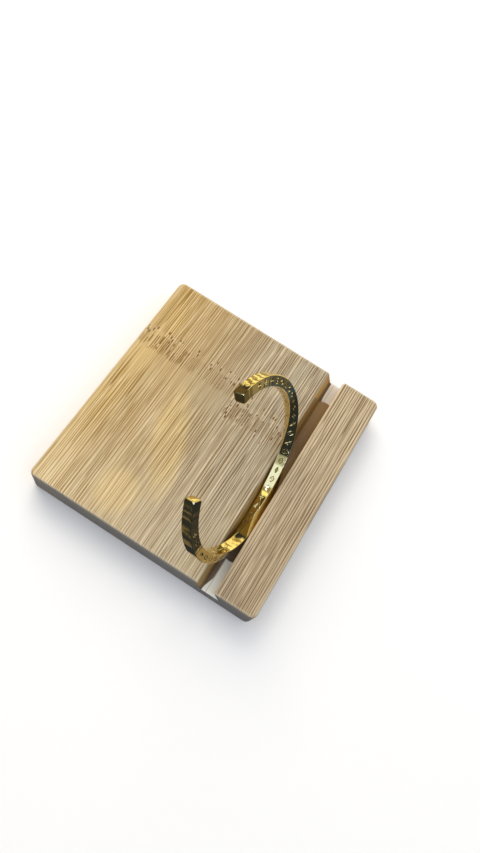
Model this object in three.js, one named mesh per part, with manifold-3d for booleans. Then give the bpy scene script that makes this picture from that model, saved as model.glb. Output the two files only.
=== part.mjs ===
// An open cuff bangle, made of one square bar with a half twist, leaning in the
// slot of the bamboo block that displays it. Millimetres, +Z up, with the origin
// under the middle of the block, the slot along Y and the bangle's near end at -Y.

import * as THREE from 'three';
import { mergeVertices } from 'three/addons/utils/BufferGeometryUtils.js';
import Module from 'manifold-3d';

const wasm = await Module();
wasm.setup();

const DEG = Math.PI / 180;

// ---- Driving dimensions -------------------------------------------------------

const BLOCK = {
  width: 95.3, // across the grain, X
  length: 100, // along the grain and the slot, Y
  thickness: 13.4,
  planCorner: 2.6, // radius of the four upright corners
  edgeRound: 1.2, // round along the top and bottom edges
};

const SLOT = {
  leftLip: 24.0, // X of the left wall where it meets the top
  width: 6.35, // along X
  depth: 6.3,
  lean: 21 * DEG, // the foot of the slot lies further to +X than its mouth
  lipRound: 0.7,
  ribRound: 0.9, // the worn lip on the narrow rib's side
  footRound: 0.6,
};

const BAR = {
  side: 3.9, // the square section
  corner: 0.22, // bevel along its four long edges
  endBevel: 0.28,
  lengthwise: 140, // sections along the bar
};

// The bar's centre line, an oval r(angle) with its angle from the foot, near end first.
const OVAL = {
  halfWidth: 32.1,
  halfHeight: 29.2,
  squareness: -0.011, // share of the radius, four times a turn
  lopside: 0.016, // share of the radius, three times a turn
  nearEnd: -151.8 * DEG,
  farEnd: 141.3 * DEG,
};

// The half twist runs evenly between two places along the bar.
const TWIST = { turn: Math.PI, from: 0.215, to: 0.808, lead: 3.5 * DEG };

// How the bangle sits in the slot: tipped back to -X and rolled towards its near end.
const SEAT = { lean: 24 * DEG, roll: 23.8 * DEG, x: 16.6, y: -12.95, z: 36.85 };

// Small plain marks cut in a row along each face of the bar.
const MARK = { pitch: 4.0, endMargin: 5.0, depth: 0.25, long: 1.5, wide: 2.2 };

const FINISH = {
  gold: { color: 0xd9a441, metalness: 1.0, roughness: 0.16 },
  bamboo: { color: 0xcdb78e, metalness: 0.0, roughness: 0.55 },
};

// ---- Helpers ------------------------------------------------------------------

// A closed three.js geometry as a solid that can be joined and cut.
function solidOf(geometry) {
  const bare = geometry.clone();
  bare.deleteAttribute('normal');
  bare.deleteAttribute('uv');
  const merged = mergeVertices(bare, 1e-4);
  return new wasm.Manifold(new wasm.Mesh({
    numProp: 3,
    vertProperties: Float32Array.from(merged.attributes.position.array),
    triVerts: Uint32Array.from(merged.index.array),
  }));
}

// A cut solid back as a flat-shaded three.js geometry.
function geometryOf(solid) {
  const mesh = solid.getMesh();
  const geometry = new THREE.BufferGeometry();
  geometry.setAttribute('position', new THREE.BufferAttribute(mesh.vertProperties, 3));
  geometry.setIndex(new THREE.BufferAttribute(mesh.triVerts, 1));
  const flat = geometry.toNonIndexed();
  flat.computeVertexNormals();
  return flat;
}

function finish(name) {
  return new THREE.MeshStandardMaterial(FINISH[name]);
}

// ---- The display block --------------------------------------------------------

function roundedRectangle(width, length, radius) {
  const x = width / 2;
  const y = length / 2;
  const shape = new THREE.Shape();
  shape.moveTo(x - radius, -y);
  shape.absarc(x - radius, -y + radius, radius, -90 * DEG, 0);
  shape.absarc(x - radius, y - radius, radius, 0, 90 * DEG);
  shape.absarc(-x + radius, y - radius, radius, 90 * DEG, 180 * DEG);
  shape.absarc(-x + radius, -y + radius, radius, 180 * DEG, 270 * DEG);
  shape.closePath();
  return shape;
}

function blockBlank() {
  const round = BLOCK.edgeRound;
  const blank = new THREE.ExtrudeGeometry(
    roundedRectangle(BLOCK.width, BLOCK.length, BLOCK.planCorner),
    {
      depth: BLOCK.thickness - 2 * round,
      steps: 1,
      curveSegments: 5,
      bevelEnabled: true,
      bevelThickness: round,
      bevelSize: round,
      bevelOffset: -round,
      bevelSegments: 4,
    },
  );
  blank.translate(0, 0, round);
  return blank;
}

// The slot's section, drawn across the block with its mouth open above the top.
function slotSection() {
  const top = BLOCK.thickness;
  const foot = top - SLOT.depth;
  const shift = SLOT.depth * Math.tan(SLOT.lean);
  const left = SLOT.leftLip;
  const right = left + SLOT.width;
  const above = 3;
  const down = new THREE.Vector2(Math.sin(SLOT.lean), -Math.cos(SLOT.lean));
  const leftFoot = left + shift;
  const rightFoot = right + shift;
  const shape = new THREE.Shape();
  shape.moveTo(left - SLOT.lipRound, top + above);
  shape.lineTo(left - SLOT.lipRound, top);
  shape.quadraticCurveTo(left, top, left + down.x * SLOT.lipRound, top + down.y * SLOT.lipRound);
  shape.lineTo(leftFoot - down.x * SLOT.footRound, foot - down.y * SLOT.footRound);
  shape.quadraticCurveTo(leftFoot, foot, leftFoot + SLOT.footRound, foot);
  shape.lineTo(rightFoot - SLOT.footRound, foot);
  shape.quadraticCurveTo(
    rightFoot, foot, rightFoot - down.x * SLOT.footRound, foot - down.y * SLOT.footRound,
  );
  shape.lineTo(right + down.x * SLOT.ribRound, top + down.y * SLOT.ribRound);
  shape.quadraticCurveTo(right, top, right + SLOT.ribRound, top);
  shape.lineTo(right + SLOT.ribRound, top + above);
  shape.closePath();
  return shape;
}

function slotCutter() {
  const past = 4;
  const run = BLOCK.length + 2 * past;
  const cutter = new THREE.ExtrudeGeometry(slotSection(), {
    depth: run, steps: 1, curveSegments: 4, bevelEnabled: false,
  });
  cutter.rotateX(90 * DEG); // the section stands upright and runs along -Y
  cutter.translate(0, run / 2, 0);
  return cutter;
}

function displayStand() {
  const body = solidOf(blockBlank()).subtract(solidOf(slotCutter()));
  const mesh = new THREE.Mesh(geometryOf(body), finish('bamboo'));
  mesh.name = 'display_stand';
  return mesh;
}

// ---- The bangle ---------------------------------------------------------------

class OvalLine extends THREE.Curve {
  constructor() {
    super();
    this.arcLengthDivisions = 1200;
  }

  getPoint(share, target = new THREE.Vector3()) {
    const angle = THREE.MathUtils.lerp(OVAL.nearEnd, OVAL.farEnd, share);
    const sin = Math.sin(angle);
    const cos = Math.cos(angle);
    const plain = 1 / Math.hypot(sin / OVAL.halfWidth, cos / OVAL.halfHeight);
    const radius = plain
      * (1 + OVAL.squareness * Math.cos(4 * angle) + OVAL.lopside * Math.sin(3 * angle));
    return target.set(radius * sin, -radius * cos, 0);
  }
}

const line = new OvalLine();
const barLength = line.getLength();

function twistAt(share) {
  const along = THREE.MathUtils.clamp((share - TWIST.from) / (TWIST.to - TWIST.from), 0, 1);
  return TWIST.lead + TWIST.turn * along;
}

// Twists and bends a straight piece: its X points outwards, its Y against the oval's
// axis and its Z along the bar from the near end.
function bendAlongOval(geometry) {
  const places = geometry.attributes.position;
  const at = new THREE.Vector3();
  const outward = new THREE.Vector3();
  for (let i = 0; i < places.count; i += 1) {
    const x = places.getX(i);
    const y = places.getY(i);
    const z = places.getZ(i);
    const share = THREE.MathUtils.clamp(z / barLength, 0, 1);
    const past = z - share * barLength;
    const ahead = line.getTangentAt(share);
    outward.set(ahead.y, -ahead.x, 0);
    const turn = twistAt(share);
    const out = x * Math.cos(turn) - y * Math.sin(turn);
    const against = x * Math.sin(turn) + y * Math.cos(turn);
    line.getPointAt(share, at);
    at.addScaledVector(ahead, past).addScaledVector(outward, out);
    places.setXYZ(i, at.x, at.y, -against);
  }
  geometry.computeVertexNormals();
  return geometry;
}

// The section at the bar's very ends, inside the bevel that runs round them. A corner
// bevel that is offset outwards by the end bevel grows by this much.
function barSection() {
  const growth = BAR.endBevel * (Math.SQRT2 - 1);
  const half = BAR.side / 2 - BAR.endBevel;
  const flat = half - Math.max(BAR.corner - growth, 0.04);
  const shape = new THREE.Shape();
  shape.moveTo(half, -flat);
  shape.lineTo(half, flat);
  shape.lineTo(flat, half);
  shape.lineTo(-flat, half);
  shape.lineTo(-half, flat);
  shape.lineTo(-half, -flat);
  shape.lineTo(-flat, -half);
  shape.lineTo(flat, -half);
  shape.closePath();
  return shape;
}

function straightBar() {
  const bar = new THREE.ExtrudeGeometry(barSection(), {
    depth: barLength - 2 * BAR.endBevel,
    steps: BAR.lengthwise,
    bevelEnabled: true,
    bevelThickness: BAR.endBevel,
    bevelSize: BAR.endBevel,
    bevelSegments: 1,
  });
  bar.translate(0, 0, BAR.endBevel);
  return bar;
}

// A lozenge-shaped cutter standing across one face of the straight bar.
function markCutter(face, place) {
  const shape = new THREE.Shape();
  shape.moveTo(-MARK.long / 2, 0);
  shape.lineTo(0, -MARK.wide / 2);
  shape.lineTo(MARK.long / 2, 0);
  shape.lineTo(0, MARK.wide / 2);
  shape.closePath();
  const cutter = new THREE.ExtrudeGeometry(shape, { depth: 1, bevelEnabled: false });
  cutter.rotateY(90 * DEG); // the lozenge's long way now runs along Z
  cutter.translate(BAR.side / 2 - MARK.depth, 0, 0);
  cutter.rotateZ(face * 90 * DEG);
  cutter.translate(0, 0, place);
  return cutter;
}

function marks() {
  const room = barLength - 2 * MARK.endMargin;
  const count = Math.floor(room / MARK.pitch);
  const cutters = [];
  for (let face = 0; face < 4; face += 1) {
    for (let i = 0; i <= count; i += 1) {
      const place = MARK.endMargin + (i * room) / count;
      cutters.push(solidOf(bendAlongOval(markCutter(face, place))));
    }
  }
  return wasm.Manifold.union(cutters);
}

function cuffBangle() {
  const body = solidOf(bendAlongOval(straightBar())).subtract(marks());
  const mesh = new THREE.Mesh(geometryOf(body), finish('gold'));
  mesh.name = 'cuff_bangle';
  return mesh;
}

// The oval is drawn flat in XY. Here it is stood up along Y, rolled and tipped back.
function seatedBangle() {
  const upright = new THREE.Group();
  upright.quaternion.setFromRotationMatrix(new THREE.Matrix4().makeBasis(
    new THREE.Vector3(0, 1, 0), new THREE.Vector3(0, 0, 1), new THREE.Vector3(1, 0, 0),
  ));
  const bangle = cuffBangle();
  bangle.rotation.z = SEAT.roll;
  upright.add(bangle);
  const seat = new THREE.Group();
  seat.position.set(SEAT.x, SEAT.y, SEAT.z);
  seat.rotation.y = -SEAT.lean;
  seat.add(upright);
  return seat;
}

// ---- The whole ----------------------------------------------------------------

const model = new THREE.Group();
model.add(displayStand(), seatedBangle());

export default model;
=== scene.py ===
"""An open cuff bangle, one square bar with a half twist, leaning in the slot of the
bamboo block that displays it. Pieces are modelled in millimetres and then set into
the frame, which is in metres."""

import math

import bpy
from mathutils import Matrix, Vector


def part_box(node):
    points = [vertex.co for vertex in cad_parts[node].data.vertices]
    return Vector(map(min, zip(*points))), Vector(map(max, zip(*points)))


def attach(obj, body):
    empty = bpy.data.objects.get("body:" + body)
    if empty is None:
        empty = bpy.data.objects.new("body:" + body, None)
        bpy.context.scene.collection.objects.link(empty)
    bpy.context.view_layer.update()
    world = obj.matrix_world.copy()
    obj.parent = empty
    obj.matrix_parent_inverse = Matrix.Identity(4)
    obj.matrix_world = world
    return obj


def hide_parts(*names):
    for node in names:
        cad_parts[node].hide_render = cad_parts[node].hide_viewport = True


bl_info = {
    "name": "Cuff bangle on a slotted stand",
    "version": (1, 0, 0),
    "blender": (4, 5, 0),
    "location": "View3D > Sidebar > Cuff bangle",
    "description": "Dresses a twisted square-bar cuff and its bamboo display block",
    "category": "Object",
}

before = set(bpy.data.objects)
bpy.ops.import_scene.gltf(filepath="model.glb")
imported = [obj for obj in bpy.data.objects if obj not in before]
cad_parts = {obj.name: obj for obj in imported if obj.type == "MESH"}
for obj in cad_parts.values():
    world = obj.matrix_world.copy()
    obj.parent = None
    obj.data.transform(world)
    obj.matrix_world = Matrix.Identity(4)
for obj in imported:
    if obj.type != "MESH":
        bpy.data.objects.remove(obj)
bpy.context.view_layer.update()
MM = 0.001
PER_METRE = 1000.0
NEAR_ENOUGH = 1e-4
X, Y, Z = range(3)
STAND_LOW, STAND_HIGH = (corner * PER_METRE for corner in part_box("display_stand"))


# ---- Sizes and colours ---------------------------------------------------------


def length_of(name, description, value):
    return bpy.props.FloatProperty(
        name=name, description=description, default=value * MM, unit="LENGTH", precision=5
    )


def angle_of(name, description, degrees):
    return bpy.props.FloatProperty(
        name=name, description=description, default=math.radians(degrees), unit="ROTATION"
    )


def share_of(name, description, value):
    return bpy.props.FloatProperty(name=name, description=description, default=value)


def colour_of(name, description, value):
    return bpy.props.FloatVectorProperty(
        name=name, description=description, default=value, size=3, subtype="COLOR",
        min=0, max=8,
    )


class CuffSizes(bpy.types.PropertyGroup):
    side: length_of("Bar side", "Width of each face of the square bar", 3.9)
    corner: length_of("Corner round", "Round along the bar's long edges", 0.22)
    far_cut: angle_of("Far cut", "How far the far tip's cut is off square", 6)
    tip_corner: length_of("Tip corner", "How much each corner of a tip is worn off", 0.7)
    rim: length_of("Tip rim", "Width of the sloping rim round each tip", 0.5)
    dome: length_of("Tip dome", "How far each tip stands out inside its rim", 0.13)
    half_width: length_of("Half width", "Oval's reach to either side of its middle", 32.1)
    half_height: length_of("Half height", "Oval's reach above and below its middle", 29.2)
    squareness: share_of("Squareness", "Share of the reach, four times a turn", -0.011)
    lopside: share_of("Lopside", "Share of the reach, three times a turn", 0.016)
    near_end: angle_of("Near end", "Angle of the near tip, from the oval's foot", -151.8)
    far_end: angle_of("Far end", "Angle of the far tip, from the oval's foot", 141.3)
    lead: angle_of("Lead", "Turn of the section at the near tip", 3.5)
    twist: angle_of("Twist", "Turn of the section from tip to tip", 180)
    twist_from: share_of("Twist from", "Share of the bar where the twist begins", 0.215)
    twist_to: share_of("Twist to", "Share of the bar where the twist ends", 0.808)
    lean: angle_of("Lean", "How far the cuff tips back", 24)
    roll: angle_of("Roll", "How far the cuff is rolled towards its near tip", 23.8)
    seat: bpy.props.FloatVectorProperty(
        name="Seat", description="Middle of the oval", subtype="TRANSLATION",
        unit="LENGTH", default=(0.0166, -0.01295, 0.03685), precision=5,
    )


class MarkSizes(bpy.types.PropertyGroup):
    pitch: length_of("Pitch", "Space from one mark to the next", 4.0)
    margin: length_of("End margin", "Bare length at each tip", 5.0)
    stroke: length_of("Stroke", "Width of a cut stroke", 0.4)
    depth: length_of("Depth", "Depth of a cut stroke", 0.14)
    reach: length_of("Reach", "Height of a mark across its face", 2.5)


# Stretches without marks: the number of the bar's face, and from where to where along
# it, in millimetres from the near tip.
PLAIN_RUNS = ((0, 47.0, 83.0), (1, 0.0, 11.0), (2, 0.0, 27.0), (3, 152.0, 170.0))


class StandSizes(bpy.types.PropertyGroup):
    width: length_of("Width", "Across the grain", STAND_HIGH.x - STAND_LOW.x)
    length: length_of("Length", "Along the grain", STAND_HIGH.y - STAND_LOW.y)
    thickness: length_of("Thickness", "Height of the block", STAND_HIGH.z - STAND_LOW.z)
    plan_corner: length_of("Plan corner", "Round of the four upright corners", 2.6)
    edge: length_of("Edge round", "Round along the top and bottom edges", 1.2)
    slot_left: length_of("Slot place", "X of the slot's left lip", 24.0)
    slot_width: length_of("Slot width", "Width of the slot along X", 6.35)
    slot_depth: length_of("Slot depth", "Depth of the slot", 6.3)
    slot_lean: angle_of("Slot lean", "How far the slot's foot swings to +X", 21)
    left_lip: length_of("Left lip round", "Round of the slot's left lip", 0.7)
    rib_lip: length_of("Rib lip round", "Worn round of the narrow rib's lip", 1.5)
    foot: length_of("Foot round", "Round in the slot's foot", 0.6)
    slot_ends: length_of("Slot end round", "Round of the left wall at both ends", 0.7)
    rib_ends: length_of("Rib end round", "Round of the rib's wall at both ends", 1.4)


class Finishes(bpy.types.PropertyGroup):
    gold: colour_of("Gold", "Polished yellow gold", (0.78, 0.65, 0.3))
    gold_roughness: share_of("Gold roughness", "Blur of the polished faces", 0.06)
    bamboo: colour_of("Bamboo", "Wood between the fibres", (0.41, 0.32, 0.175))
    # Painted warm sunlight, laid over the top in soft patches and a wash along its left edge.
    bamboo_painted_sunlight: colour_of("Sunny bamboo", "Soft golden patches", (0.8, 0.58, 0.22))
    bamboo_golden: colour_of("Golden bamboo", "Wood of the left strips", (0.535, 0.37, 0.15))
    bamboo_rosy: colour_of("Rosy bamboo", "Wood of the right strips", (0.385, 0.325, 0.22))
    bamboo_rib: colour_of("Rib bamboo", "Wood of the narrow rib", (0.48, 0.375, 0.23))
    bamboo_pale: colour_of("Pale bamboo", "Pale streaks of the wood", (0.74, 0.61, 0.4))
    fibre: colour_of("Fibre", "Brown fibre bundles", (0.17, 0.1, 0.035))
    fibre_golden: colour_of("Golden fibre", "Bundles of the left strips", (0.29, 0.16, 0.03))
    # Darker end grain: partly the ends' own colour, partly painted shade with a cool tint.
    end_grain_in_shade: colour_of("End grain", "Sawn ends of the block", (0.17, 0.175, 0.18))
    saw_cut: colour_of("Saw cut", "Left wall of the slot", (0.53, 0.29, 0.07))
    saw_cut_near: colour_of("Near saw cut", "Left wall at its near end", (0.3, 0.19, 0.06))
    rib_wall: colour_of("Rib wall", "Right wall of the slot", (0.45, 0.24, 0.07))
    slot_floor: colour_of("Slot floor", "Bare far end of the slot's floor", (0.68, 0.6, 0.49))
    # Painted cool light: the floor's near end is brighter and cooler.
    slot_floor_near_lit: colour_of("Near slot floor", "Bare near end of the floor", (0.9, 0.9, 0.8))
    pit: colour_of("Pit", "Pits along a node", (0.15, 0.07, 0.014))
    # Dark brown along the slot's middle, darker towards the cuff as painted shade; also the
    # painted shade at the walls' foot, below the rib's lip and on the floor's left side.
    slot_dark_and_shade: colour_of("Scorch", "Burnt middle of the slot", (0.1, 0.053, 0.014))
    # Where the slot's dark middle fades towards its far end; also the faint line along the floor.
    slot_dark_faded: colour_of("Light scorch", "Where the burn fades", (0.27, 0.155, 0.048))
    # Painted light: lightens the slot's dark middle near the cuff's foot.
    slot_painted_light: colour_of("Warm scorch", "Burn behind the cuff's foot", (0.36, 0.22, 0.05))
    bamboo_roughness: share_of("Bamboo roughness", "Satin of the sanded wood", 0.5)


class StudioValues(bpy.types.PropertyGroup):
    lens: bpy.props.FloatProperty(
        name="Lens", description="Focal length, millimetres", default=28.193
    )
    camera_place: bpy.props.FloatVectorProperty(
        name="Camera", description="Place of the camera", subtype="TRANSLATION",
        unit="LENGTH", default=(0.02296, -0.09049, 0.24896), precision=5,
    )
    camera_aim: bpy.props.FloatVectorProperty(
        name="Aim", description="Point in the middle of the view", subtype="TRANSLATION",
        unit="LENGTH", default=(0.005845, 0.008755, 0.0134), precision=5,
    )
    camera_roll: angle_of("Camera roll", "Turn of the camera about its view", 23.354)
    floor: colour_of("Floor", "Plain pale floor", (0.9, 0.9, 0.9))
    floor_cloud: colour_of("Floor cloud", "Soft patches of the floor", (0.8, 0.8, 0.8))
    soft_light: colour_of("Soft light", "Even light from all round", (0.9, 0.93, 1.0))
    soft_strength: share_of("Soft strength", "Strength of the even light", 0.5)


# ---- Hand work on meshes -------------------------------------------------------


def only(*objects):
    """Leaves just these objects selected, the last of them active."""
    if bpy.context.mode != "OBJECT":
        bpy.ops.object.mode_set(mode="OBJECT")
    bpy.ops.object.select_all(action="DESELECT")
    for each in objects:
        each.select_set(True)
        bpy.context.view_layer.objects.active = each


def start(name, add, **settings):
    """Adds a primitive of 1 mm units and makes its size part of its mesh."""
    only()
    add(**settings)
    piece = bpy.context.active_object
    piece.name = piece.data.name = name
    settle(piece)
    return piece


def settle(piece):
    only(piece)
    bpy.ops.object.transform_apply(location=True, rotation=True, scale=True)


def pick(piece, kind, test):
    """Edit mode with only the vertices, edges or faces chosen that pass the test."""
    only(piece)
    bpy.ops.object.mode_set(mode="EDIT")
    bpy.ops.mesh.select_mode(type=kind)
    bpy.ops.mesh.select_all(action="DESELECT")
    bpy.ops.object.mode_set(mode="OBJECT")
    mesh = piece.data
    parts = {"VERT": mesh.vertices, "EDGE": mesh.edges, "FACE": mesh.polygons}[kind]
    for part in parts:
        part.select = bool(test(part))
    bpy.ops.object.mode_set(mode="EDIT")


def ends(piece, edge):
    return [piece.data.vertices[index].co for index in edge.vertices]


def push_out(x=0.0, y=0.0, z=0.0):
    """Extrudes the chosen faces and moves the new ones."""
    bpy.ops.mesh.extrude_region_move(TRANSFORM_OT_translate={"value": (x, y, z)})


def quarter_round(radius, steps=5):
    """Steps of a flare: how far each reaches, how far it rises, and its widening as a
    share of the radius."""
    turns = [math.pi / 2 * step / steps for step in range(steps + 1)]
    for before, turn in zip(turns, turns[1:]):
        rise = radius * (math.sin(turn) - math.sin(before))
        yield radius * math.sin(turn), rise, math.cos(before) - math.cos(turn)


def runs_along(piece, axis, longer_than=0.0):
    """A test for edges that run straight along one axis and have some length."""

    def test(edge):
        a, b = ends(piece, edge)
        run = b - a
        return run.length > longer_than and abs(run[axis]) > 0.999 * run.length

    return test


def apply_modifier(piece, kind, **settings):
    only(piece)
    bpy.ops.object.modifier_add(type=kind)
    added = piece.modifiers[-1]
    for name, value in settings.items():
        setattr(added, name, value)
    bpy.ops.object.modifier_apply(modifier=added.name)


def cut(piece, cutter):
    apply_modifier(piece, "BOOLEAN", object=cutter, operation="DIFFERENCE", solver="EXACT")
    bpy.data.objects.remove(cutter)


def copy_of(piece, place):
    made = piece.copy()
    made.data = piece.data.copy()
    made.data.transform(place)
    bpy.context.scene.collection.objects.link(made)
    return made


def join(pieces, name):
    only(*pieces)
    bpy.ops.object.join()
    whole = bpy.context.active_object
    whole.name = whole.data.name = name
    return whole


def smooth(piece, sharpest):
    """Soft shading that keeps edges sharper than an angle, in degrees."""
    only(piece)
    bpy.ops.object.shade_smooth_by_angle(angle=math.radians(sharpest))
    apply_modifier(piece, "WEIGHTED_NORMAL", keep_sharp=True, weight=80)


def set_in_frame(piece, place=Matrix.Identity(4)):
    """Gives a finished piece its place, in metres, in its own mesh."""
    piece.matrix_world = Matrix.Scale(MM, 4) @ place
    settle(piece)
    pick(piece, "FACE", lambda face: True)
    bpy.ops.mesh.normals_make_consistent(inside=False)
    bpy.ops.object.mode_set(mode="OBJECT")


def hand_over(piece, node, material):
    piece.data.materials.clear()
    piece.data.materials.append(material)
    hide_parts(node)
    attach(piece, "root")


# ---- Shader work ---------------------------------------------------------------


class Wire:
    """A socket in a node tree that adds up, multiplies and compares like a number."""

    def __init__(self, bench, socket):
        self.bench = bench
        self.socket = socket

    def maths(self, operation, *values):
        return self.bench.node("Math", {"operation": operation}, dict(enumerate(values)))

    def __add__(self, other):
        return self.maths("ADD", self, other)

    def __sub__(self, other):
        return self.maths("SUBTRACT", self, other)

    def __rsub__(self, other):
        return self.maths("SUBTRACT", other, self)

    def __mul__(self, other):
        return self.maths("MULTIPLY", self, other)

    def __truediv__(self, other):
        return self.maths("DIVIDE", self, other)

    def __gt__(self, other):
        return self.maths("GREATER_THAN", self, other)

    def __lt__(self, other):
        return self.maths("LESS_THAN", self, other)

    def __abs__(self):
        return self.maths("ABSOLUTE", self)

    __radd__ = __add__
    __rmul__ = __mul__

    def most(self, other):
        return self.maths("MAXIMUM", self, other)

    def least(self, other):
        return self.maths("MINIMUM", self, other)

    def floor(self):
        return self.maths("FLOOR", self)

    def sine(self):
        return self.maths("SINE", self)

    def ease(self, low, high):
        """0 at low, 1 at high, with a smooth run between; low may be the larger."""
        return self.bench.node(
            "MapRange", {"interpolation_type": "SMOOTHSTEP"}, {0: self, 1: low, 2: high}
        )


class Bench:
    """A node tree under construction."""

    def __init__(self, tree):
        self.tree = tree
        tree.nodes.clear()

    def node(self, kind, settings=None, sockets=None, output=0):
        """Adds a node: its settings first, then the values or links of its sockets."""
        made = self.tree.nodes.new("ShaderNode" + kind)
        for name, value in (settings or {}).items():
            setattr(made, name, value)
        for name, value in (sockets or {}).items():
            if isinstance(value, Wire):
                self.tree.links.new(value.socket, made.inputs[name])
            else:
                made.inputs[name].default_value = value
        return Wire(self, made.outputs[output]) if made.outputs else None

    def axes(self, vector):
        return [self.node("SeparateXYZ", None, {0: vector}, axis) for axis in range(3)]

    def point(self, x, y, z):
        return self.node("CombineXYZ", None, {0: x, 1: y, 2: z})

    def mix(self, share, first, second):
        """Two colours, the second laid over the first by a share."""
        return self.node(
            "Mix", {"data_type": "RGBA"}, {0: share, 6: opaque(first), 7: opaque(second)}, 2
        )

    def noise(self, vector, scale=1.0, detail=2.0, roughness=0.5):
        return self.node(
            "TexNoise", None,
            {"Vector": vector, "Scale": scale, "Detail": detail, "Roughness": roughness},
        )


def opaque(colour):
    return colour if isinstance(colour, Wire) else (*tuple(colour)[:3], 1.0)


def principled(name, build, **constants):
    """A material whose surface build() describes; constants go on their own sockets."""
    material = bpy.data.materials.new(name)
    material.use_nodes = True
    bench = Bench(material.node_tree)
    surface = bench.node("BsdfPrincipled", None, {**constants, **build(bench)})
    bench.node("OutputMaterial", None, {"Surface": surface})
    return material


def polished_gold(values):
    """Polished metal with a slow swell along the bar, fine ripples and a little grime."""
    worn_share = (0.86, 0.82, 0.7)
    worn = [part * share for part, share in zip(values.gold, worn_share)]

    def build(bench):
        place = bench.node("TexCoord", output="Object")
        along = bench.node("Attribute", {"attribute_name": "along"}, output="Fac")
        swell = bench.noise(bench.point(along * 0.42, 0.0, 0.0), detail=1.0)
        ripple = bench.noise(place, 420.0, 1.0)
        grime = bench.noise(place, 900.0, 3.0).ease(0.4, 0.75)
        bump = bench.node(
            "Bump", None,
            {"Strength": 0.2, "Distance": 0.0003, "Height": swell + ripple * 0.12},
        )
        return {
            "Base Color": bench.mix(grime * 0.4, values.gold, worn),
            "Roughness": grime * 0.06 + values.gold_roughness,
            "Normal": bump,
        }

    return principled("polished_gold", build, Metallic=1.0)


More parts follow.
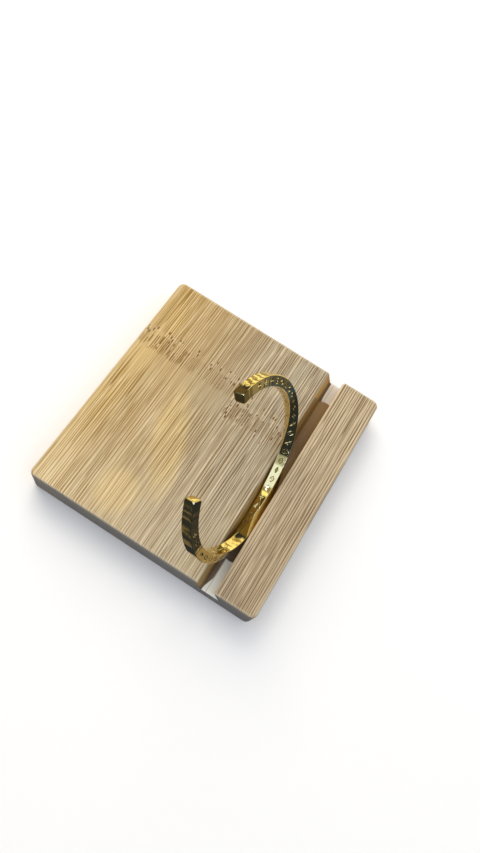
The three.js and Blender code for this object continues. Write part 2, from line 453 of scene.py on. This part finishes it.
class Bamboo:
    """The block's wood, laid down layer by layer. Fibres run along Y through the whole
    block. Places and lengths are in millimetres."""

    # X of the two glue lines left of the slot.
    LEFT_GLUE, MIDDLE_GLUE = -26.4, -3.2
    # Y of the node, how much nearer it is beside the slot, and a step that takes it off
    # the block on the rib.
    NODE, NODE_STEP, OFF_THE_BLOCK = 24.5, 7.5, 400.0

    # Space between the lines of each kind, half the width of a line, and a shift that
    # gives the kind its own wander.
    BOLD = (1.05, 0.19, 0.0)
    FINE = (0.86, 0.19, 7.3)
    DASHES = (0.9, 0.25, 29.3)

    # From the slot's left lip to the line that parts its two walls.
    WALLS_PART = 4.2
    # X of the line along the slot's floor, X of the dark middle's centre line, and Y of its ends.
    FLOOR_LINE = 28.15
    BURN_MIDDLE, BURN_NEAR, BURN_FAR = 29.5, -35.5, 40.3

    def __init__(self, bench, values, sizes):
        self.bench, self.values = bench, values
        self.top, self.half = sizes.thickness / MM, sizes.length / MM / 2
        self.half_width = sizes.width / MM / 2
        self.slot_left, self.slant = sizes.slot_left / MM, math.tan(sizes.slot_lean)
        self.slot_foot = (sizes.thickness - sizes.slot_depth) / MM
        self.slot_right = self.slot_left + (sizes.slot_width + sizes.slot_depth / 2) / MM
        place = bench.node("TexCoord", output="Object")
        self.x, self.y, self.z = (axis * PER_METRE for axis in bench.axes(place))
        self.end_grain_in_shade = abs(self.y).ease(self.half - 0.75, self.half - 0.2)
        self.mark_strips()
        self.mark_node()
        self.lay_fibres()

    # -- patterns --

    def grain(self, across, along, detail=2.0, shift=0.0):
        """Noise drawn out along the fibres, with its own course in each strip."""
        point = self.bench.point(
            self.x * across + self.own, self.y * along + self.own + shift, self.z * across
        )
        return self.bench.noise(point, detail=detail)

    def strands(self, pitch, width, shift):
        """Lines that wander a little and slant down the ends of the block: their ink,
        how far off its line each point lies, and the number of that line."""
        lean = (self.grain(0.3, 0.004, 2.0, shift) - 0.5) * (3.0 / pitch)
        phase = (self.x + (self.z - self.top) * 0.8) / pitch + lean + shift
        number = phase.floor()
        off = abs(phase - number - 0.5) * pitch
        return off.ease(width, width * 0.4), off, number

    def lasting(self, number, length, low, high):
        """Each line fades in and out along its length, in its own places."""
        point = self.bench.point(number * 3.7, self.y / length, self.own)
        return self.bench.noise(point, detail=1.0).ease(low, high)

    def patch(self, across, along, wide, long, lean):
        """A soft-edged spot on the top."""
        u = (self.x - across + (self.y - along) * lean) / wide
        v = (self.y - along) / long
        return (u * u + v * v).ease(1.0, 0.1)

    # -- layers --

    def mark_strips(self):
        """Four glued strips, from the left: left, plain, beside the slot, rib. Their
        patterns lie far apart, so no strip repeats another."""
        self.left, self.rib = self.x < self.LEFT_GLUE, self.x > self.slot_left
        self.past_middle = self.x > self.MIDDLE_GLUE
        self.plain = (1.0 - self.left) * (1.0 - self.past_middle)
        self.beside = self.past_middle - self.rib
        self.own = self.past_middle * 41.0 + self.rib * 23.0 - self.left * 57.0

    def mark_node(self):
        """A node crosses each strip at its own height: pits on its line, a brown band of
        short dashes under it, and calm wood below that."""
        bench, x, y, beside = self.bench, self.x, self.y, self.beside
        wobble = bench.noise(bench.point(x * 0.3, self.own, 0.0), 1.0, 4.0, 0.7) - 0.5
        height = y - wobble * 7.0 - self.NODE
        height = height + beside * self.NODE_STEP + self.rib * self.OFF_THE_BLOCK
        self.scar = height.ease(1.8, 0.6) * height.ease(-1.6, -0.4)
        band = height.ease(-0.3, -1.8) * height.ease(-8.5, -6.5)
        self.band = band * (self.left + self.past_middle * x.ease(9.0, 3.0) + 0.3).least(1.0)
        calm = height.ease(-6.0, -9.0) * height.ease(-24.0, -12.0)
        self.calm = calm * (0.5 - beside * 0.35)

        bend = bench.noise(bench.point(x * 0.9, y * 0.9, self.own), detail=1.0) * 0.35
        dots = bench.node(
            "TexVoronoi", {"voronoi_dimensions": "2D"},
            {"Vector": bench.point(x * 0.5 + self.own, y * 0.2 + bend, 0.0), "Scale": 1.0},
        )
        near = (beside * 5.0 + 3.0 - abs(height + beside * 2.0)).ease(0.0, 1.2)
        some = self.grain(0.3, 0.2, 1.0).ease(0.44, 0.52)
        near = near * (some + 1.0 - self.past_middle).least(1.0)
        self.pit = dots.ease(0.2, 0.1) * near
        self.halo = dots.ease(0.46, 0.34) * near * 0.25

    def lay_fibres(self):
        """Brown lines, bold and fine, dashes under the node, and pale gaps."""
        steady = self.left + self.rib
        bold, off, number = self.strands(*self.BOLD)
        strength = self.lasting(number, 34.0, 0.36, 0.62)
        broken = self.lasting(number + 0.4, 11.0, 0.6, 0.45)
        strength = strength * (1.0 - self.beside * broken * 0.6)
        bold = bold * (strength * (0.62 - steady * 0.1) + steady * 0.15 + 0.25)
        pitch, width, _ = self.BOLD
        gap = off.ease(pitch / 2 - width, pitch / 2 - width * 0.4)
        self.glow = gap * self.lasting(number + 0.5, 40.0, 0.34, 0.6)
        fine, _, number = self.strands(*self.FINE)
        fine = fine * self.lasting(number, 26.0, 0.42, 0.58)
        dash, _, number = self.strands(*self.DASHES)
        self.dash = dash * self.lasting(number, 4.0, 0.42, 0.5) * self.band
        self.hair = self.grain(2.6, 0.12, 1.0)
        bare = (1.0 - self.scar * 0.3) * (1.0 - self.calm)
        lines = (bold * 1.08 + fine * 1.25 + self.hair.ease(0.52, 0.74) * 0.2) * bare
        self.lines = (lines + self.dash).least(1.0) * self.line_strength()

    def line_strength(self):
        """How strong the lines are in each strip and along it."""
        y = self.y
        beside = y.ease(-38.0, -8.0) * 0.24 + y.ease(24.0, 34.0) * 0.12 - 0.14
        plain = y.ease(-12.0, -34.0) * 0.25 + 0.08
        left = y.ease(-30.0, -10.0) * 0.12
        return (
            0.92 + self.rib * 0.02 + self.left * left
            + self.beside * beside - self.plain * plain
        )

    def wood(self):
        """The top's colour: tints of the strips, patches of painted sunlight, streaks,
        painted shade and painted light along the length, then lines.
        """
        mix, values, y = self.bench.mix, self.values, self.y
        side = self.x.ease(-45.0, 15.0)
        wood = mix(side, values.bamboo_golden, values.bamboo_rosy)
        wood = mix(self.grain(0.12, 0.01, 1.0).ease(0.35, 0.65) * 0.5, wood, values.bamboo)
        wood = mix(self.rib, wood, values.bamboo_rib)
        # Painted warm sunlight: soft patches on the top and a wash towards its left edge.
        painted_sunlight = self.patch(-13.0, -12.0, 9.0, 26.0, 0.35)
        painted_sunlight = painted_sunlight.most(self.patch(-18.0, -38.0, 10.0, 11.0, 0.0))
        painted_sunlight = painted_sunlight.most(self.patch(-41.0, 36.0, 6.0, 16.0, 0.4))
        painted_sunlight = painted_sunlight.most(self.x.ease(-28.0, -48.0) * 0.8)
        wood = mix(painted_sunlight * 0.5, wood, values.bamboo_painted_sunlight)
        streaks = self.hair.ease(0.48, 0.3) * 0.35 + self.glow * (0.5 + self.beside * 0.1)
        wood = mix(streaks.least(1.0) * (1.0 - self.calm), wood, values.bamboo_pale)
        wood = mix(self.halo, wood, values.bamboo_pale)
        fibre = mix(side, values.fibre_golden, values.fibre)
        # Painted shade: the left strips darken towards the far end and the rib towards the near
        # end; the band adds the real brown under the node.
        shaded = y.ease(-20.0, 45.0) * (1.0 - self.past_middle)
        shaded = shaded + self.rib * y.ease(30.0, -50.0) * 1.8
        wood = mix(self.band * 0.06 + shaded * 0.12, wood, fibre)
        # Painted light: the near end of the top is paler, more so on the left strip and not at all
        # on the rib.
        near_end = y.ease(-12.0, -48.0) * (0.22 + self.left * 0.16 - self.rib * 0.22)
        wood = mix(near_end, wood, values.bamboo_pale)
        wood = mix(self.lines, wood, fibre)
        return mix(self.pit.most(self.dash * 0.6), wood, values.pit)

    def edge_highlight_and_dark_end_grain(self, wood):
        """The top's edges are paler, a painted highlight, and the end grain is darker,
        partly its own colour and partly painted shade.
        """
        out = (abs(self.x) - self.half_width).most(abs(self.y) - self.half)
        edge = out.ease(-1.4, -0.7) * self.z.ease(self.top - 1.0, self.top - 0.3)
        # Painted highlight along the top's edges.
        wood = self.bench.mix(edge * 0.35, wood, self.values.bamboo_pale)
        return self.bench.mix(self.end_grain_in_shade * 0.8, wood, self.values.end_grain_in_shade)

    def slotted(self, wood):
        """The slot's worn right lip, paled with painted light, its walls and its floor, laid over
        the wood.
        """
        mix, x, z, top, foot = self.bench.mix, self.x, self.z, self.top, self.slot_foot
        far_wall = x > self.slot_left + self.WALLS_PART + (top - z) * self.slant
        inside = (z + far_wall * 0.9).ease(top - 0.1, top - 1.0)
        inside = inside * (x > self.slot_left - 0.8) * (x < self.slot_right)
        inside = inside * (z > foot - 0.3) * (abs(self.y) < self.half - 0.1)
        lip = far_wall * (z > foot + 1.0) * (x < self.slot_right) * z.ease(top, top - 0.5)
        # Painted light: the rib's lip is paled.
        wood = mix(lip * (1.0 - self.end_grain_in_shade) * 0.9, wood, self.values.bamboo_pale)
        floor = z < foot + 0.35
        dark_middle, dark_middle_colour = self.dark_middle()
        wood = mix(inside * (1.0 - floor), wood, self.slot_walls(far_wall, dark_middle, dark_middle_colour))
        return mix(inside * floor, wood, mix(dark_middle, self.slot_floor(), dark_middle_colour))

    def dark_middle(self):
        """The slot is dark brown along its middle, darkening from its far end towards
        the cuff as painted shade, and lightened near the cuff's foot as painted light:
        where, and in what colour.
        """
        mix, values, y = self.bench.mix, self.values, self.y
        off = self.x - self.BURN_MIDDLE
        curve = off * off * 0.12
        near = (y - curve).ease(self.BURN_NEAR - 0.6, self.BURN_NEAR)
        far = (y + curve).ease(self.BURN_FAR + 0.6, self.BURN_FAR)
        # Painted shade: darker from the far end towards the cuff.
        dark_middle_colour = mix(y.ease(46.0, 5.0), values.slot_dark_faded, values.slot_dark_and_shade)
        # Painted light near the cuff's foot.
        painted_light_by_cuff = y.ease(20.0, -6.0) * y.ease(-32.0, -20.0) * 0.6
        return near * far, mix(painted_light_by_cuff, dark_middle_colour, values.slot_painted_light)

    def slot_walls(self, far_wall, dark_middle, dark_middle_colour):
        """The left wall darkens towards its foot and the rib's wall below its lip, both as painted
        shade.
        """
        mix, values, z, top = self.bench.mix, self.values, self.z, self.top
        # Painted shade towards the left wall's foot.
        foot = z.ease(self.slot_foot + 3.6, self.slot_foot + 1.2)
        left = mix(self.y.ease(-5.0, -42.0) * 0.9, values.saw_cut, values.saw_cut_near)
        left = mix(dark_middle * 0.7, mix(foot * 0.75, left, values.slot_dark_and_shade), dark_middle_colour)
        # Painted shade below the rib's overhanging lip.
        right = mix(z.ease(top - 2.2, top - 4.2) * 0.8, values.rib_wall, values.slot_dark_and_shade)
        return mix(far_wall, left, right)

    def slot_floor(self):
        """Bare at both ends, the near end brighter and cooler as painted light, with a left
        side in painted shade and a faint line along it.
        """
        mix, values, x, y = self.bench.mix, self.values, self.x, self.y
        line = self.FLOOR_LINE
        shade = x + y.ease(-43.0, -49.5) * 1.6 + y.ease(34.0, 44.0) * 1.1
        sole = mix(y.ease(0.0, -42.0), values.slot_floor, values.slot_floor_near_lit)
        sole = mix(abs(x - line).ease(0.25, 0.1) * 0.4, sole, values.slot_dark_faded)
        return mix(shade.ease(line, line - 0.25) * 0.95, sole, values.slot_dark_and_shade)


def sanded_bamboo(values, sizes):
    """The block's satin finish; its fibres are a little rougher and sunk."""

    def build(bench):
        bamboo = Bamboo(bench, values, sizes)
        bump = bench.node(
            "Bump", None,
            {"Strength": 0.3, "Distance": 0.0002, "Height": 1.0 - bamboo.lines * 0.6},
        )
        roughness = bamboo.lines * 0.15 + bamboo.pit * 0.3 + values.bamboo_roughness
        return {
            "Base Color": bamboo.slotted(bamboo.edge_highlight_and_dark_end_grain(bamboo.wood())),
            "Roughness": roughness,
            "Normal": bump,
        }

    return principled("sanded_bamboo", build)


# ---- Operators -----------------------------------------------------------------


class OBJECT_OT_cuff(bpy.types.Operator):
    """Models the twisted cuff, engraves it and seats it in the slot"""

    bl_idname = "object.make_cuff"
    bl_label = "Cuff bangle"
    bl_options = {"REGISTER", "UNDO"}

    def execute(self, context):
        sizes, marks = context.scene.cuff_sizes, context.scene.mark_sizes
        oval = self.oval_line(sizes)
        run = sum((b - a).length for a, b in zip(oval, oval[1:]))
        bar = self.straight_bar(sizes, run)
        self.engrave(bar, sizes, marks, run)
        self.note_run(bar)
        self.twist_and_bend(bar, sizes, oval, run)
        set_in_frame(bar, self.seat(sizes))
        smooth(bar, 28)
        hand_over(bar, "cuff_bangle", polished_gold(context.scene.finishes))
        return {"FINISHED"}

    @staticmethod
    def oval_line(sizes, steps=480):
        """Points of the bar's centre line in millimetres, flat in XY, near tip first."""
        points = []
        for step in range(steps + 1):
            angle = sizes.near_end + (sizes.far_end - sizes.near_end) * step / steps
            sin, cos = math.sin(angle), math.cos(angle)
            ellipse = 1 / math.hypot(sin / sizes.half_width, cos / sizes.half_height)
            square = sizes.squareness * math.cos(4 * angle)
            lop = sizes.lopside * math.sin(3 * angle)
            reach = ellipse * (1 + square + lop)
            points.append(Vector((reach * sin, -reach * cos, 0)) / MM)
        return points

    @staticmethod
    def straight_bar(sizes, run, across_cuts=5, along_cuts=(11, 23)):
        """The bar before it is bent, upright, with its near tip at z = 0. Its far tip is
        flatter, and it has enough rings to twist and bend evenly."""
        side, corner, dome = sizes.side / MM, sizes.corner / MM, sizes.dome / MM
        far_dome = 0.2 * dome
        bar = start(
            "cuff", bpy.ops.mesh.primitive_cube_add, size=1, location=(0, 0, run / 2),
            scale=(side, side, run - 2 * dome),
        )
        pick(bar, "VERT", lambda vertex: True)
        bpy.ops.mesh.bevel(offset=sizes.tip_corner / MM, affect="VERTICES")
        pick(bar, "EDGE", lambda edge: True)
        bpy.ops.mesh.bevel(offset=corner, segments=4, affect="EDGES")
        for end, rise in ((-1, -dome), (1, far_dome)):
            pick(bar, "FACE", lambda face: face.normal.z * end > 0.999)
            bpy.ops.mesh.inset(thickness=sizes.rim / MM)
            bpy.ops.transform.translate(value=(0, 0, rise))
        pick(bar, "VERT", lambda vertex: vertex.co.z > run - 4 * dome)
        bpy.ops.transform.rotate(
            value=-sizes.far_cut, orient_axis="Y", center_override=(0, 0, run)
        )
        for axis in (X, Y):
            pick(bar, "EDGE", runs_along(bar, axis, side / 2))
            bpy.ops.mesh.subdivide(number_cuts=across_cuts)
        for cuts in along_cuts:
            pick(bar, "EDGE", runs_along(bar, Z, side * 1.2))
            bpy.ops.mesh.subdivide(number_cuts=cuts)
        bpy.ops.object.mode_set(mode="OBJECT")
        return bar

    # -- engraved marks --

    @staticmethod
    def stroke(marks, reach, turn=0.0, place=(0.0, 0.0)):
        """A cut of a graver: a slim bar with a sharp belly, lying in the face at x = 0,
        straight for most of its reach and tapered at both ends."""
        straight, taper, point = 0.72, 0.14, 0.3
        blade = start(
            "stroke", bpy.ops.mesh.primitive_cylinder_add, vertices=4, radius=0.5,
            depth=reach * straight, end_fill_type="NGON",
        )
        for end in (-1, 1):
            pick(blade, "FACE", lambda face: face.normal.z * end > 0.9)
            push_out(z=end * reach * taper)
            bpy.ops.transform.resize(value=(point, point, 1))
        bpy.ops.object.mode_set(mode="OBJECT")
        blade.scale = (2 * marks.depth / MM, marks.stroke / MM, 1)
        settle(blade)
        blade.rotation_euler = (turn, 0, 0)
        blade.location = (0, *place)
        settle(blade)
        return blade

    def mark_masters(self, marks):
        """Plain ornaments, each as one closed cutter. A stroke is its reach, its turn and
        its place on the face."""
        high = marks.reach / MM
        half, quarter = high / 2, high / 4
        ray, lean = math.radians(60), math.radians(33)
        middle = (0, 0)
        dot = (0.5, 0, middle)

        def diamond(turn, squeeze):
            reach = half / math.cos(lean)
            return [
                (reach, sx * sy * turn, (sx * quarter * squeeze, sy * quarter))
                for sx in (-1, 1) for sy in (-1, 1)
            ]

        def round_about(angle):
            radius = half * 0.7
            return radius * math.cos(angle + 0.1), radius * math.sin(angle + 0.1)

        seeds = ((0, 0.75), (-0.6, 0), (0.6, 0), (0, -0.75), middle)
        sets = {
            "star": [(high, ray * i, middle) for i in range(3)],
            "lozenge": diamond(lean, 0.66) + [dot],
            "seeds": [(0.62, 0, place) for place in seeds],
            "ring": [(half * 1.1, ray * i, round_about(ray * i)) for i in range(6)] + [dot],
            "leaf": diamond(lean * 0.6, 0.38) + [(half, 0, middle)],
        }
        masters = []
        for name, strokes in sets.items():
            whole = join([self.stroke(marks, *each) for each in strokes], name)
            pick(whole, "FACE", lambda face: True)
            bpy.ops.mesh.intersect_boolean(operation="UNION", use_self=True, solver="EXACT")
            bpy.ops.object.mode_set(mode="OBJECT")
            masters.append(whole)
        return masters

    def engrave(self, bar, sizes, marks, run):
        """Cuts a row of marks into each face, in an order that differs face by face."""
        masters = self.mark_masters(marks)
        margin = marks.margin / MM
        room = run - 2 * margin
        count = int(room / (marks.pitch / MM))
        cutters = []
        for face in range(4):
            plain = [(low, high) for number, low, high in PLAIN_RUNS if number == face]
            out = Matrix.Rotation(math.radians(90 * face), 4, "Z")
            out = out @ Matrix.Translation((sizes.side / MM / 2, 0, 0))
            for index in range(count + 1):
                along = margin + index * room / count
                if any(low < along < high for low, high in plain):
                    continue
                which = (index * 2 + face * 3 + index // 4) % len(masters)
                place = Matrix.Translation((0, 0, along)) @ out
                cutters.append(copy_of(masters[which], place))
        for master in masters:
            bpy.data.objects.remove(master)
        cut(bar, join(cutters, "marks"))

    # -- shaping --

    @staticmethod
    def note_run(bar):
        """Keeps how far along the bar each point is, for the finish to follow."""
        note = bar.data.attributes.new("along", "FLOAT", "POINT")
        note.data.foreach_set("value", [vertex.co.z for vertex in bar.data.vertices])

    def twist_and_bend(self, bar, sizes, oval, run):
        """The half twist first, then the bend along the oval."""
        first = sizes.twist_from * run
        rate = sizes.twist / ((sizes.twist_to - sizes.twist_from) * run)
        bar.rotation_euler.z = sizes.lead - rate * first
        settle(bar)
        apply_modifier(
            bar, "SIMPLE_DEFORM", deform_method="TWIST", deform_axis="Z",
            angle=sizes.twist, limits=(sizes.twist_from, sizes.twist_to),
        )
        data = bpy.data.curves.new("oval", "CURVE")
        data.dimensions = "3D"
        data.twist_mode = "Z_UP"
        spline = data.splines.new("POLY")
        spline.points.add(len(oval) - 1)
        for point, at in zip(spline.points, oval):
            point.co = (*at, 1)
        guide = bpy.data.objects.new("oval", data)
        bpy.context.scene.collection.objects.link(guide)
        apply_modifier(bar, "CURVE", object=guide, deform_axis="POS_Z")
        bpy.data.objects.remove(guide)

    @staticmethod
    def seat(sizes):
        """Stands the flat oval up along the slot, rolls it and tips it back."""
        lean, roll = sizes.lean, sizes.roll
        ahead, up = Vector((0, 1, 0)), Vector((-math.sin(lean), 0, math.cos(lean)))
        across = Vector((math.cos(lean), 0, math.sin(lean)))
        along = ahead * math.cos(roll) + up * math.sin(roll)
        above = up * math.cos(roll) - ahead * math.sin(roll)
        turn = Matrix((along, above, across)).transposed().to_4x4()
        return Matrix.Translation(Vector(sizes.seat) / MM) @ turn


class OBJECT_OT_stand(bpy.types.Operator):
    """Models the bamboo block with its slanted slot"""

    bl_idname = "object.make_stand"
    bl_label = "Display stand"
    bl_options = {"REGISTER", "UNDO"}

    def execute(self, context):
        sizes = context.scene.stand_sizes
        block = self.block(sizes)
        cut(block, self.slot_cutter(sizes))
        set_in_frame(block)
        smooth(block, 30)
        hand_over(
            block, "display_stand", sanded_bamboo(context.scene.finishes, sizes)
        )
        return {"FINISHED"}

    @staticmethod
    def block(sizes):
        width, length, high = (s / MM for s in (sizes.width, sizes.length, sizes.thickness))
        block = start(
            "stand", bpy.ops.mesh.primitive_cube_add, size=1, location=(0, 0, high / 2),
            scale=(width, length, high),
        )
        pick(block, "EDGE", runs_along(block, Z))
        bpy.ops.mesh.bevel(offset=sizes.plan_corner / MM, segments=10, affect="EDGES")

        def lies_level(edge):
            a, b = ends(block, edge)
            return abs(a.z - b.z) < NEAR_ENOUGH

        pick(block, "EDGE", lies_level)
        bpy.ops.mesh.bevel(offset=sizes.edge / MM, segments=6, affect="EDGES")
        bpy.ops.object.mode_set(mode="OBJECT")
        return block

    @staticmethod
    def slot_cutter(sizes):
        """A leaning slab with a round foot that flares at its mouth and at both ends."""
        top, deep = sizes.thickness / MM, sizes.slot_depth / MM
        left, wide = sizes.slot_left / MM, sizes.slot_width / MM
        half = sizes.length / MM / 2
        lean = math.tan(sizes.slot_lean)
        lips = (sizes.left_lip / MM, sizes.rib_lip / MM)
        end_lips = (sizes.slot_ends / MM, sizes.rib_ends / MM)
        neck, tail = max(lips), max(end_lips)
        over_top, past_end = 3, 4
        slab = start(
            "slot", bpy.ops.mesh.primitive_cube_add, size=1,
            location=(left + wide / 2, 0, top - (deep + neck) / 2),
            scale=(wide, 2 * (half - tail), deep - neck),
        )
        for level in (neck, deep):
            pick(slab, "VERT", lambda vertex: abs(vertex.co.z - top + level) < NEAR_ENOUGH)
            bpy.ops.transform.translate(value=(level * lean, 0, 0))
        is_long = runs_along(slab, Y)
        pick(slab, "EDGE", lambda edge: is_long(edge) and ends(slab, edge)[0].z < top - deep + 0.1)
        bpy.ops.mesh.bevel(offset=sizes.foot / MM, segments=4, affect="EDGES")

        def widen(axis, level, amounts):
            """Moves the left and right sides of a freshly extruded end outwards."""
            for side, amount in zip((-1, 1), amounts):

                def is_outer(vertex):
                    middle = left + wide / 2 + (top - vertex.co.z) * lean
                    at_level = abs(vertex.co[axis] - level) < NEAR_ENOUGH
                    return at_level and (vertex.co.x - middle) * side > 0

                pick(slab, "VERT", is_outer)
                bpy.ops.transform.translate(value=(side * amount, 0, 0))

        def pick_mouth(level):
            pick(slab, "FACE", lambda face: face.normal.z > 0.99 and face.center.z > level - 0.01)

        for reach, rise, share in quarter_round(neck):
            level = top - neck + reach
            pick_mouth(level - rise)
            push_out(x=-rise * lean, z=rise)
            widen(Z, level, [lip * share for lip in lips])
        pick_mouth(top)
        push_out(z=over_top)

        for end in (-1, 1):
            for reach, rise, share in quarter_round(tail):
                level = end * (half - tail + reach)
                pick(slab, "FACE", lambda face: face.normal.y * end > 0.99)
                push_out(y=end * rise)
                widen(Y, level, [lip * share for lip in end_lips])

                def is_foot(vertex):
                    at_level = abs(vertex.co.y - level) < NEAR_ENOUGH
                    return at_level and vertex.co.z < top - deep + 0.2

                pick(slab, "VERT", is_foot)
                bpy.ops.transform.translate(value=(0, 0, -end_lips[0] * share))
            pick(slab, "FACE", lambda face: face.normal.y * end > 0.99)
            push_out(y=end * past_end)
        pick(slab, "FACE", lambda face: True)
        bpy.ops.mesh.normals_make_consistent(inside=False)
        bpy.ops.object.mode_set(mode="OBJECT")
        return slab


class OBJECT_OT_studio(bpy.types.Operator):
    """Sets the camera, the soft lights and the pale floor"""

    bl_idname = "object.make_studio"
    bl_label = "Studio"
    bl_options = {"REGISTER", "UNDO"}

    # The lamps that light the wood: name, place, width, power and colour.
    LAMPS = (
        ("window_far_left", (-0.5, 0.55, 0.6), 0.9, 8.0, (1.0, 0.91, 0.76)),
        ("ceiling", (0.0, 0.1, 0.9), 1.3, 3.6, (1.0, 0.99, 0.97)),
        ("fill_right", (0.7, -0.1, 0.6), 0.8, 1.4, (0.82, 0.9, 1.0)),
    )

    # What the gold reflects: a dark room, and patches laid one over another. A patch is
    # the way to its middle, in degrees round from +X and up, how far it reaches in full
    # and to the end of its soft edge, the pattern in it, and its light.
    DARK = (0.03, 0.037, 0.05)
    PATCHES = (
        (-110, -36, 22, 34, "rings", (0.19, 0.157, 0.115)),
        (-84, -18, 9, 13, None, (0.03, 0.03, 0.03)),
        (-107, -36, 3, 4.5, None, (0.045, 0.04, 0.03)),
        (13, -36, 4, 6, "slats", (0.12, 0.095, 0.085)),
        (172, 10, 22, 30, None, (0.1, 0.075, 0.025)),
        (-172, 33, 9, 14, None, (0.42, 0.35, 0.2)),
        (30, 22, 14, 18, None, (0.2, 0.13, 0.04)),
        (36, -29, 9, 15, None, (0.13, 0.12, 0.1)),
        (28, -34, 6, 9, None, (0.05, 0.09, 0.16)),
        (30, -25, 3, 6, None, (0.14, 0.115, 0.07)),
        (33, -28, 0.8, 2.6, None, (0.36, 0.3, 0.21)),
        (86, -3, 37, 42, None, (1.5, 1.32, 0.74)),
        (76, 8, 20, 30, "specks", (0.4, 0.29, 0.1)),
        (95, -52, 12, 26, None, (0.72, 0.6, 0.38)),
        (112, -20, 22, 28, "bands", (0.34, 0.25, 0.1)),
        (136, 14, 8, 14, None, (0.15, 0.11, 0.055)),
        (180, 88, 20, 32, None, (1.5, 1.5, 1.4)),
        (-132, 50, 26, 30, None, (1.1, 1.3, 1.85)),
        (-92, 53, 6, 12, None, (0.5, 0.56, 0.62)),
        (-178, 27, 2, 5, None, (1.5, 1.45, 0.8)),
        (41, 72, 4, 7, None, (6.0, 7.5, 16.0)),
        (-57, 55, 5, 8, None, (6.0, 7.5, 16.0)),
    )

    def execute(self, context):
        values = context.scene.studio_values
        self.camera(values)
        self.floor(values)
        self.lamps()
        self.surroundings(values)
        context.scene.view_settings.view_transform = "Standard"
        return {"FINISHED"}

    @staticmethod
    def camera(values):
        data = bpy.data.cameras.new("camera")
        data.lens = values.lens
        data.sensor_width = 36
        data.clip_start, data.clip_end = 0.01, 20
        camera = bpy.data.objects.new("camera", data)
        bpy.context.scene.collection.objects.link(camera)
        place, aim = Vector(values.camera_place), Vector(values.camera_aim)
        look = (aim - place).normalized()
        level = look.cross(Vector((0, 0, 1))).normalized()
        upright = level.cross(look)
        right = level * math.cos(values.camera_roll) + upright * math.sin(values.camera_roll)
        turn = Matrix((right, right.cross(look), -look)).transposed().to_4x4()
        camera.matrix_world = Matrix.Translation(place) @ turn
        bpy.context.scene.camera = camera

    @staticmethod
    def floor(values):
        floor = start("floor", bpy.ops.mesh.primitive_plane_add, size=4, location=(0, 0, 0))
        floor.visible_glossy = False

        def build(bench):
            cloud = bench.noise(bench.node("TexCoord", output="Object"), 3.0)
            return {"Base Color": bench.mix(cloud * 0.1, values.floor, values.floor_cloud)}

        floor.data.materials.append(principled("pale_floor", build, Roughness=0.9))

    def lamps(self):
        for name, place, size, power, colour in self.LAMPS:
            data = bpy.data.lights.new(name, "AREA")
            data.shape = "SQUARE"
            data.size = size
            data.energy = power
            data.color = colour
            lamp = bpy.data.objects.new(name, data)
            bpy.context.scene.collection.objects.link(lamp)
            lamp.location = place
            lamp.rotation_euler = (-Vector(place)).to_track_quat("-Z", "Y").to_euler()
            lamp.visible_glossy = False

    def surroundings(self, values):
        """Even light for the wood and the floor, and the room for the gold to reflect."""
        world = bpy.data.worlds.new("room")
        world.use_nodes = True
        bpy.context.scene.world = world
        bench = Bench(world.node_tree)
        way = bench.node("TexCoord", output="Generated")
        patterns = self.patterns(bench, way)
        room = self.DARK
        for azimuth, height, full, edge, pattern, light in self.PATCHES:
            share = self.lobe(bench, way, azimuth, height, full, edge)
            if pattern:
                share = share * patterns[pattern]
            room = bench.mix(share, room, light)
        shine = bench.node("Background", None, {"Color": room, "Strength": 1.0})
        soft = bench.node(
            "Background", None,
            {"Color": opaque(values.soft_light), "Strength": values.soft_strength},
        )
        glossy = bench.node("LightPath", output="Is Glossy Ray")
        both = bench.node("MixShader", None, {0: glossy, 1: soft, 2: shine})
        bench.node("OutputWorld", None, {"Surface": both})

    @staticmethod
    def lobe(bench, way, azimuth, height, full, edge):
        """A round patch of directions: 1 within the full angle, 0 past its edge."""
        a, h = math.radians(azimuth), math.radians(height)
        towards = (math.cos(a) * math.cos(h), math.sin(a) * math.cos(h), math.sin(h))
        facing = bench.node(
            "VectorMath", {"operation": "DOT_PRODUCT"}, {0: way, 1: towards}, "Value"
        )
        return facing.ease(math.cos(math.radians(edge)), math.cos(math.radians(full)))

    @staticmethod
    def patterns(bench, way):
        """Level stripes of several kinds, and specks."""
        up = bench.axes(way)[Z]
        blur = (bench.noise(way, 1.6, 0.0) - 0.5) * 22.0 + bench.noise(way, 6.0) * 7.0
        slats = (up * 190.0).sine().ease(0.0, 0.8)
        return {
            "rings": (up * 34.0 + blur).sine().ease(-0.1, 0.7),
            "bands": (up * 42.0).sine().ease(-0.6, 0.6),
            "slats": slats * up.ease(-0.53, -0.545),
            "specks": bench.noise(way, 8.0).ease(0.5, 0.62),
        }


class VIEW3D_PT_cuff(bpy.types.Panel):
    bl_label = "Cuff bangle"
    bl_idname = "VIEW3D_PT_cuff"
    bl_space_type = "VIEW_3D"
    bl_region_type = "UI"
    bl_category = "Cuff bangle"

    def draw(self, context):
        for maker in MAKERS:
            self.layout.operator(maker.bl_idname)
        for name, group in GROUPS.items():
            box = self.layout.box()
            box.label(text=name.replace("_", " ").capitalize())
            values = getattr(context.scene, name)
            for each in group.__annotations__:
                box.prop(values, each)


GROUPS = {
    "cuff_sizes": CuffSizes,
    "mark_sizes": MarkSizes,
    "stand_sizes": StandSizes,
    "finishes": Finishes,
    "studio_values": StudioValues,
}
MAKERS = (OBJECT_OT_studio, OBJECT_OT_stand, OBJECT_OT_cuff)
CLASSES = (*GROUPS.values(), *MAKERS, VIEW3D_PT_cuff)


def register():
    for each in CLASSES:
        bpy.utils.register_class(each)
    for name, group in GROUPS.items():
        setattr(bpy.types.Scene, name, bpy.props.PointerProperty(type=group))


def unregister():
    for name in GROUPS:
        delattr(bpy.types.Scene, name)
    for each in reversed(CLASSES):
        bpy.utils.unregister_class(each)


def main():
    register()
    bpy.ops.object.make_studio()
    bpy.ops.object.make_stand()
    bpy.ops.object.make_cuff()


if __name__ == "__main__":
    main()
